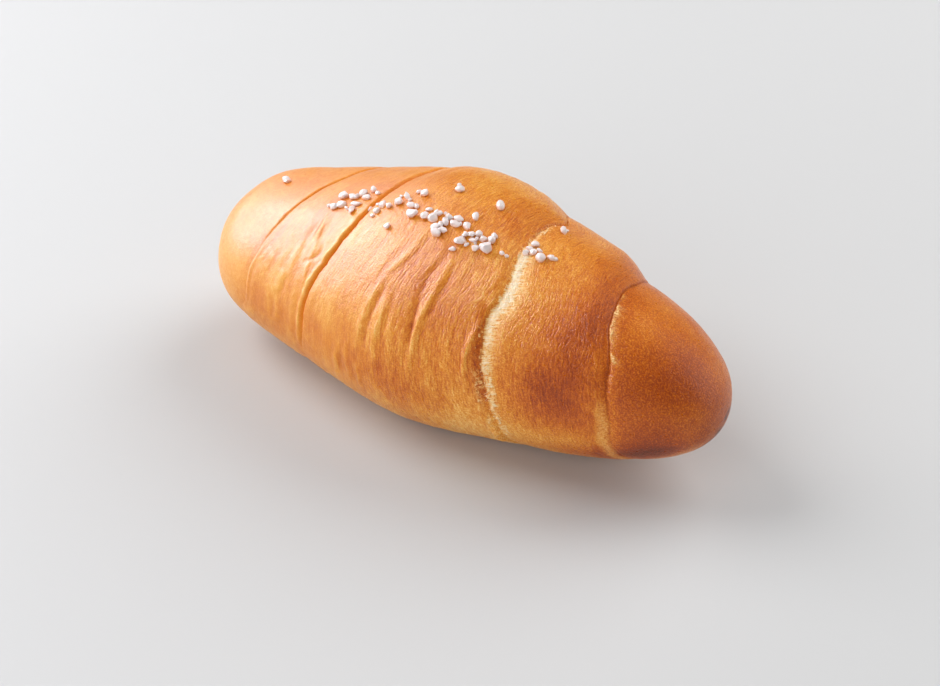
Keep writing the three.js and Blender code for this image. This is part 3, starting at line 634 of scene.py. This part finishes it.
def crust_material():
    g = Graph("baked_crust")
    obj = g.coords()
    flow_v = g.attr("flow", True)
    pale_a, groove_glow_a, toast_and_painted_light_a, base_a, streak_a, crisp_a = (g.attr(n) for n in ("pale", "groove_glow", "toast_and_painted_light", "base", "streak", "crisp"))
    fine_a = g.math("MULTIPLY", streak_a, crisp_a)

    mottle = g.noise(obj, 85.0, 3.0, 0.55)
    grain = g.noise(obj, 2500.0, 2.0, 0.6)
    speck = g.noise(obj, 800.0, 2.0, 0.5)
    fibre = g.noise(g.scaled(flow_v, 0.75, 0.10, 1.0), 1.0, 3.0, 0.6, 0.4)
    fine_fibre = g.noise(g.scaled(flow_v, 2.3, 0.34, 1.0), 1.0, 2.0, 0.6, 0.4)
    fringe = g.noise(g.scaled(g.attr("fray", True), 0.55, 2.3, 1.0), 1.0, 2.0, 0.6, 0.35)

    # the grain is light on the brown, and weaker where the crust is dark or streaky
    calm = g.math("MULTIPLY", g.span(toast_and_painted_light_a, 0.55, 0.9, 1.0, 0.7), g.span(streak_a, 0.0, 1.0, 1.0, 0.65))
    t = g.math("ADD", toast_and_painted_light_a, g.span(mottle, 0.3, 0.7, -0.05, 0.05))
    t = g.math("ADD", t, g.math("MULTIPLY", g.math("MULTIPLY", crisp_a, calm), g.span(grain, 0.43, 0.70, 0.05, -0.25)))
    t = g.math("ADD", t, g.math("MULTIPLY", calm, g.span(speck, 0.3, 0.7, -0.05, 0.03)))
    t = g.math("ADD", t, g.math("MULTIPLY", streak_a, g.span(fibre, 0.3, 0.7, 0.04, -0.04)))
    t = g.math("ADD", t, g.math("MULTIPLY", fine_a, g.span(fine_fibre, 0.34, 0.72, 0.07, -0.15)))
    colour = g.ramp(g.math("MULTIPLY", t, 1 / 1.4), [(pos / 1.4, c) for pos, c in (
        (0.15, srgb(244, 196, 116)), (0.30, srgb(236, 172, 82)), (0.42, srgb(227, 150, 54)), (0.55, srgb(215, 128, 36)),
        (0.68, srgb(201, 107, 24)), (0.80, srgb(184, 87, 15)), (0.92, srgb(160, 68, 13)), (1.06, srgb(136, 55, 16)), (1.4, srgb(66, 30, 15)))])
    # painted bounce light: a saturated golden colour in the left grooves
    colour = g.mix(g.math("MULTIPLY", groove_glow_a, 0.75), colour, srgb(220, 126, 10))
    # torn dough: golden where the crust starts, cream in the tear
    flock = g.math("ADD", g.span(grain, 0.3, 0.7, -0.16, 0.16), g.span(fringe, 0.3, 0.7, -0.42, 0.42))
    lint = g.math("ADD", pale_a, g.math("MULTIPLY", g.span(pale_a, 0.05, 0.45, 0.0, 1.0), flock))
    cream = g.ramp(lint, [(0.15, srgb(232, 164, 76)), (0.45, srgb(240, 190, 116)), (0.75, srgb(246, 211, 160)), (1.0, srgb(251, 229, 196))])
    colour = g.mix(g.span(lint, 0.06, 0.5, 0.0, 1.0), colour, cream)
    # baked underside, darker and drier
    under = g.ramp(g.noise(obj, 160.0, 3.0, 0.6), [(0.3, srgb(150, 84, 36)), (0.7, srgb(196, 124, 60))])
    colour = g.mix(base_a, colour, under)
    g.put(g.bsdf.inputs["Base Color"], colour)

    rough = g.math("ADD", g.span(speck, 0.3, 0.7, -0.04, 0.05), g.span(crisp_a, 0.3, 1.0, 0.40, 0.31))
    rough = g.math("ADD", rough, g.math("MULTIPLY", g.math("MAXIMUM", pale_a, groove_glow_a), 0.3))
    rough = g.math("ADD", rough, g.math("MULTIPLY", base_a, 0.2), True)
    g.put(g.bsdf.inputs["Roughness"], rough)

    tall = g.math("ADD", g.math("MULTIPLY", crisp_a, g.span(grain, 0.2, 0.8, 0.0, 0.7)), g.math("MULTIPLY", fine_a, g.span(fine_fibre, 0.2, 0.8, 0.0, 0.9)))
    tall = g.math("ADD", tall, g.span(speck, 0.2, 0.8, 0.0, 0.35))
    tall = g.math("ADD", tall, g.math("MULTIPLY", streak_a, g.span(fibre, 0.2, 0.8, 0.0, 0.35)))
    n = g.bump(tall, 0.7, 0.00017)
    fuzz = g.math("MULTIPLY", pale_a, g.math("ADD", fringe, g.math("MULTIPLY", grain, 0.6)))
    n = g.bump(fuzz, 0.8, 0.0005, n)
    g.put(g.bsdf.inputs["Normal"], n)
    g.bsdf.inputs["Specular IOR Level"].default_value = 0.4
    g.bsdf.inputs["Subsurface Weight"].default_value = 0.12
    g.bsdf.inputs["Subsurface Radius"].default_value = (1.0, 0.45, 0.18)
    g.bsdf.inputs["Subsurface Scale"].default_value = 0.003
    return g.mat


def salt_material():
    g = Graph("coarse_salt")
    obj = g.coords()
    frost = g.noise(obj, 1400.0, 3.0, 0.6)
    white = g.ramp(frost, [(0.3, srgb(221, 207, 204)), (0.7, srgb(232, 219, 216))])
    # painted warm bounce light at the foot of each grain
    g.put(g.bsdf.inputs["Base Color"], g.mix(g.attr("foot_glow"), white, srgb(236, 190, 158)))
    g.put(g.bsdf.inputs["Roughness"], g.span(frost, 0.3, 0.7, 0.25, 0.45))
    g.put(g.bsdf.inputs["Normal"], g.bump(g.noise(obj, 2200.0, 2.0, 0.6), 0.3, 0.0002))
    g.bsdf.inputs["Subsurface Weight"].default_value = 0.4
    g.bsdf.inputs["Subsurface Radius"].default_value = (1.0, 0.8, 0.75)
    g.bsdf.inputs["Subsurface Scale"].default_value = 0.0007
    g.bsdf.inputs["IOR"].default_value = 1.54
    return g.mat


me.materials.append(crust_material())
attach(roll, "root")
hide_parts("roll")

# --------------------------------------------------------------------------
# Coarse salt: x in mm, angle round the roll, length and width in mm, turn of
# the long axis from +X
# --------------------------------------------------------------------------
GRAINS = [
    (-57.1, 97, 2.7, 2.2, 5), (-32.5, 108, 2.7, 2.1, 157), (-29.5, 108, 1.8, 1.6, 46), (-27, 105, 2.2, 2.1, 169), (-25.2, 107, 1.8, 1.4, 169),
    (-25.5, 101, 1.9, 1.5, 12), (-23.3, 103, 1.2, 1.1, 168), (-26.6, 112, 3.1, 1.4, 163), (-32.6, 116, 1.9, 1.7, 169), (-30.7, 114, 2.2, 1.6, 151),
    (-26.3, 116, 1.8, 1.6, 46), (-21.6, 112, 1.8, 1.2, 11), (-18.8, 114, 1.6, 1.4, 166), (-18.4, 110, 2, 1.3, 113), (-16.4, 110, 1.5, 1.3, 165),
    (-14.5, 107, 2.2, 1.9, 47), (-13.5, 103, 2.3, 1.2, 45), (-10.5, 107, 2.5, 1.8, 22), (-8.2, 111, 2.9, 2.2, 146), (-4.9, 110, 2, 1.8, 48),
    (-2.4, 110, 2.2, 2, 154), (-2.5, 107, 2.9, 1.5, 146), (0.6, 106, 1.6, 1.5, 150), (1, 109, 2, 1.3, 45), (3.2, 105, 2.3, 1.5, 168),
    (3.4, 108, 2.5, 1.6, 174), (6.2, 106, 2.1, 1.7, 33), (-0.5, 113, 2, 1.6, 154), (0.6, 115, 2.3, 2, 166), (1.8, 113, 2, 1.2, 170),
    (7.3, 110, 1.8, 1.5, 149), (8.4, 109, 1.7, 1.5, 172), (7.3, 114, 3.2, 2.1, 145), (9.8, 111, 2, 1.1, 3), (10, 107, 1.5, 1.4, 146),
    (11.8, 108, 1.8, 1.6, 146), (13.8, 112, 3.2, 3, 148), (11.6, 114, 1.8, 1.4, 161), (13.3, 104, 1.6, 1.4, 32), (17.8, 110, 1.1, 0.9, 171),
    (19, 110, 1.1, 0.8, 176), (-9.8, 99, 2.2, 1.8, 158), (-2.9, 91, 2.2, 1.8, 126), (6, 100, 2.3, 1.5, 52), (8.4, 89, 2.7, 2, 42),
    (-12.7, 120, 1.4, 1.3, 164), (23.7, 78, 2, 1.5, 46), (22.3, 96, 1.9, 1.6, 136), (22, 100, 1.5, 1.2, 139), (22.1, 103, 1.5, 1.2, 12),
    (23.5, 101, 1.6, 1.3, 127), (24.4, 98, 1.4, 1, 165), (26, 102, 2.5, 2.2, 40), (27.9, 99, 1.6, 1.3, 158), (29, 98, 1, 0.9, 137),
]


def unit_ball(level):
    import bmesh
    bm = bmesh.new()
    bmesh.ops.create_icosphere(bm, subdivisions=level, radius=1.0)
    v = np.array([p.co[:] for p in bm.verts])
    f = [[p.index for p in face.verts] for face in bm.faces]
    bm.free()
    return v, np.array(f)


tree = BVHTree.FromPolygons([tuple(v) for v in np.concatenate([Q.reshape(-1, 3), [tip_point(-1), tip_point(1)]])],
                            [tuple(p.vertices) for p in me.polygons])


def on_crust(x, deg):
    """point of the crust at one place, and the way out of it"""
    start_p = body(np.array(x), np.array(float(deg))) - np.array([0, MID_Y, 0])
    centre = np.array([x, -MID_Y, float(section(np.array(x / (LENGTH / 2)))[1])])
    out = start_p - centre
    out /= np.linalg.norm(out)
    hit, normal, _, _ = tree.ray_cast(Vector(start_p + 12 * out), Vector(-out))
    up = np.array(normal)
    return np.array(hit), up * np.sign(up @ out)


rng = np.random.default_rng(7)
ball_v, ball_f = unit_ball(4)
lump = Noise(71)
verts, faces, foot_glow = [], [], []
# smaller pieces broken off the grains lie against them
pieces = []
for gx, gdeg, long, wide, spin in GRAINS:
    pieces.append((gx, gdeg, long, wide, spin))
    if long > 1.5 and rng.uniform() < 0.6:
        way, part = rng.uniform(1.2, 5.1), rng.uniform(0.45, 0.68)
        off = 0.5 * (long + part * long) * 1.2
        pieces.append((gx + off * math.cos(way), gdeg + off * math.sin(way) / 0.58, part * long, part * wide, rng.uniform(0, 180)))
for i, (gx, gdeg, long, wide, spin) in enumerate(pieces):
    hit, up = on_crust(gx, gdeg)
    # an irregular crystal: unequal axes, worn cut faces, small lumps
    grow = float(np.interp(long, [1.0, 2.0, 3.2], [1.28, 1.22, 1.06]))
    long, wide = grow * long, grow * wide
    reach = np.zeros(len(ball_v))
    for _ in range(rng.integers(1, 4)):
        c = rng.uniform(-0.42, 0.42, 3) * np.array([1.0, 0.8, 0.5])
        along_c = ball_v @ c
        reach = np.maximum(reach, along_c + np.sqrt(along_c ** 2 - c @ c + rng.uniform(0.68, 0.9) ** 2))
    v = ball_v * reach[:, None]
    for _ in range(rng.integers(6, 10)):
        nrm = rng.normal(size=3)
        nrm /= np.linalg.norm(nrm)
        over = np.maximum(0, v @ nrm - rng.uniform(0.5, 0.8))
        v -= 0.9 * over[:, None] * nrm
    v *= (1 + 0.10 * lump(v[:, 0] * 1.4 + 9 * i, v[:, 1] * 1.4, v[:, 2] * 1.4)
          + 0.05 * lump(v[:, 0] * 3.5 + 9 * i, v[:, 1] * 3.5, v[:, 2] * 3.5))[:, None]
    v -= (v.max(0) + v.min(0)) / 2
    tall = wide * rng.uniform(0.75, 0.95)
    v *= np.array([long, wide, tall]) / (v.max(0) - v.min(0))
    turn = math.radians(spin + rng.uniform(-12, 12))
    tilt = rng.uniform(-0.3, 0.3)
    side_a = np.array([1.0, 0, 0]) - up[0] * up
    side_a /= np.linalg.norm(side_a)
    side_b = np.cross(side_a, up)             # the way the angle grows
    a = side_a * math.cos(turn) + side_b * math.sin(turn)
    b = np.cross(up, a)
    a2 = a * math.cos(tilt) + up * math.sin(tilt)
    u2 = up * math.cos(tilt) - a * math.sin(tilt)
    world = v[:, :1] * a2 + v[:, 1:2] * b + v[:, 2:3] * u2
    low = (world @ up).min()
    world += hit + up * (-low - 0.2 * tall)
    faces.append(ball_f + sum(len(q) for q in verts))
    verts.append(world)
    # painted bounce light: the foot of a grain is tinted warm, standing in for light from the crust that passes into
    # the salt
    foot_glow.append(smooth(0.62, 0.0, ((world - hit) @ up) / tall))


def joined(name, verts, faces):
    m = bpy.data.meshes.new(name)
    m.from_pydata((np.concatenate(verts) * MM).tolist(), [], np.concatenate(faces).tolist())
    m.update()
    m.polygons.foreach_set("use_smooth", np.ones(len(m.polygons), bool))
    ob = bpy.data.objects.new(name, m)
    bpy.context.scene.collection.objects.link(ob)
    return ob


salt = joined("salt_grains", verts, faces)
at = salt.data.attributes.new("foot_glow", "FLOAT", "POINT")
at.data.foreach_set("value", np.concatenate(foot_glow).astype(np.float32))
salt.data.materials.append(salt_material())
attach(salt, "root")

# --------------------------------------------------------------------------
# Torn dough along the right edge of the middle turn: strands pulled over the
# step and loose crumbs beside it
# --------------------------------------------------------------------------
rng = np.random.default_rng(17)
verts, faces = [], []
STRAND_STEPS, STRAND_SIDES = 7, 5
ring = np.radians(np.arange(STRAND_SIDES) * 360.0 / STRAND_SIDES)
side_n = np.arange(STRAND_SIDES)
tube = np.concatenate([np.stack([s * STRAND_SIDES + side_n, s * STRAND_SIDES + (side_n + 1) % STRAND_SIDES,
                                 (s + 1) * STRAND_SIDES + (side_n + 1) % STRAND_SIDES, (s + 1) * STRAND_SIDES + side_n], -1)
                       for s in range(STRAND_STEPS - 1)])
tube = np.concatenate([tube[:, [0, 1, 2]], tube[:, [0, 2, 3]]])
for _ in range(46):
    deg0 = float(np.interp(rng.uniform(), [0, 0.25, 0.4, 1.0], [84, 140, 158, 186]))
    seam = float(np.interp(deg0, deg_rows, lines["R1"][0]))
    d_a = rng.uniform(0.6, 2.0)
    d_b = d_a - rng.uniform(0.9, 2.0)
    lean = rng.normal(0.9, 0.9) / 0.55
    arch = rng.uniform(0.0, 0.14)
    thick = rng.uniform(0.07, 0.12)
    path, ups = [], []
    for t in np.linspace(0, 1, STRAND_STEPS):
        p, u = on_crust(seam + d_a + (d_b - d_a) * t, deg0 + lean * t + 0.5 * math.sin(3.1 * t + deg0))
        path.append(p + u * (-0.04 + arch * math.sin(math.pi * t)))
        ups.append(u)
    path = np.array(path)
    path[1:-1] = 0.5 * path[1:-1] + 0.25 * (path[:-2] + path[2:])
    run_dir = np.gradient(path, axis=0)
    run_dir /= np.linalg.norm(run_dir, axis=1, keepdims=True)
    cross = np.cross(run_dir, np.array(ups))
    cross /= np.linalg.norm(cross, axis=1, keepdims=True)
    lift_dir = np.cross(cross, run_dir)
    fat = thick * (1.15 - 0.8 * np.linspace(0, 1, STRAND_STEPS))
    world = path[:, None] + fat[:, None, None] * (np.cos(ring)[None, :, None] * cross[:, None] + np.sin(ring)[None, :, None] * lift_dir[:, None])
    faces.append(tube + sum(len(q) for q in verts))
    verts.append(world.reshape(-1, 3))
bit_v, bit_f = unit_ball(2)
for i in range(70):
    deg0 = float(np.interp(rng.uniform(), [0, 0.35, 0.45, 1.0], [76, 106, 158, 192]))
    seam = float(np.interp(deg0, deg_rows, lines["R1"][0]))
    p, u = on_crust(seam + rng.normal(0.8, 0.6), deg0)
    size = rng.uniform(0.12, 0.30) * np.array([1.0, rng.uniform(0.6, 1.0), rng.uniform(0.5, 0.9)])
    v = bit_v * (1 + 0.35 * lump(bit_v[:, 0] * 1.6 + 7 * i, bit_v[:, 1] * 1.6, bit_v[:, 2] * 1.6))[:, None] * size
    spin = rng.uniform(0, math.pi)
    a = np.array([math.cos(spin), math.sin(spin), 0.0])
    a -= (a @ u) * u
    a /= np.linalg.norm(a)
    faces.append(bit_f + sum(len(q) for q in verts))
    verts.append(p + v[:, :1] * a + v[:, 1:2] * np.cross(u, a) + v[:, 2:3] * u)
torn = joined("torn_dough", verts, faces)
g = Graph("torn_dough")
g.bsdf.inputs["Base Color"].default_value = srgb(240, 204, 150)
g.bsdf.inputs["Roughness"].default_value = 0.5
g.bsdf.inputs["Specular IOR Level"].default_value = 0.4
torn.data.materials.append(g.mat)
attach(torn, "root")

# --------------------------------------------------------------------------
# Floor, light, camera
# --------------------------------------------------------------------------
fm = bpy.data.meshes.new("floor")
fm.from_pydata([(-3, -3, 0), (3, -3, 0), (3, 3, 0), (-3, 3, 0)], [], [(0, 1, 2, 3)])
floor = bpy.data.objects.new("floor", fm)
bpy.context.scene.collection.objects.link(floor)
g = Graph("pale_floor")
g.bsdf.inputs["Base Color"].default_value = srgb(198, 198, 198)
g.bsdf.inputs["Roughness"].default_value = 0.75
g.bsdf.inputs["Specular IOR Level"].default_value = 0.25
fm.materials.append(g.mat)

scene = bpy.context.scene
CAM_POS = np.array([247.58, -358.68 - MID_Y, 321.15])
yaw, elev, tilt = math.radians(-34.528), math.radians(35.12), math.radians(0.7)
right0 = np.array([math.cos(yaw), -math.sin(yaw), 0])
fwd = np.array([math.cos(elev) * math.sin(yaw), math.cos(elev) * math.cos(yaw), -math.sin(elev)])
up0 = np.array([math.sin(elev) * math.sin(yaw), math.sin(elev) * math.cos(yaw), math.cos(elev)])
right = math.cos(tilt) * right0 + math.sin(tilt) * up0
upv = math.cos(tilt) * up0 - math.sin(tilt) * right0
cam_data = bpy.data.cameras.new("camera")
cam_data.sensor_fit = "HORIZONTAL"
cam_data.sensor_width = 36.0
cam_data.lens = 36.0 * 2000.0 / 940.0
cam_data.clip_start = 0.01
cam = bpy.data.objects.new("camera", cam_data)
m = Matrix.Identity(4)
for i in range(3):
    m[i][0], m[i][1], m[i][2], m[i][3] = right[i], upv[i], -fwd[i], CAM_POS[i] * MM
cam.matrix_world = m
scene.collection.objects.link(cam)
scene.camera = cam

flat_fwd = np.array([math.sin(yaw), math.cos(yaw), 0])


def area_light(name, left, back, up, size, power, colour=(1, 1, 1)):
    """soft light placed by metres left of, behind and above the roll as the camera sees it"""
    data = bpy.data.lights.new(name, "AREA")
    data.shape = "DISK"
    data.size = size
    data.energy = power
    data.color = colour
    ob = bpy.data.objects.new(name, data)
    pos = Vector(-left * right0 + back * flat_fwd + np.array([0, 0, up]))
    ob.location = pos
    ob.rotation_euler = (Vector((0, 0, 0.03)) - pos).to_track_quat("-Z", "Y").to_euler()
    scene.collection.objects.link(ob)
    return ob


area_light("key", 0.74, 0.28, 0.74, 0.85, 8.4, (1.0, 0.995, 0.985))
rim = area_light("rim", -0.8, 0.6, 0.8, 1.3, 14.0)
fill = area_light("fill", 0.5, -0.82, 0.38, 1.0, 5.6)
for soft in (rim, fill):
    soft.visible_glossy = False
# broad windows that only show in the gloss of the crust
gloss = area_light("gloss", 0.84, 0.32, 0.50, 1.0, 24.0, (0.90, 0.96, 1.22))
behind = area_light("gloss behind", 0.5, 0.78, 0.5, 0.8, 6.0)
low = area_light("gloss low", 0.9, 0.2, 0.08, 0.36, 3.2, (0.92, 0.96, 1.18))
sheen = area_light("sheen", -0.95, 0.0, 0.45, 0.9, 5.0, (1.0, 0.9, 0.85))
for shine in (gloss, behind, low, sheen):
    shine.visible_diffuse = False
world = bpy.data.worlds.new("studio")
scene.world = world
world.use_nodes = True
bg = world.node_tree.nodes["Background"]
bg.inputs["Color"].default_value = (0.97, 0.98, 1.0, 1.0)
bg.inputs["Strength"].default_value = 0.29
world.cycles_visibility.glossy = False
scene.view_settings.view_transform = "Standard"
scene.view_settings.look = "None"
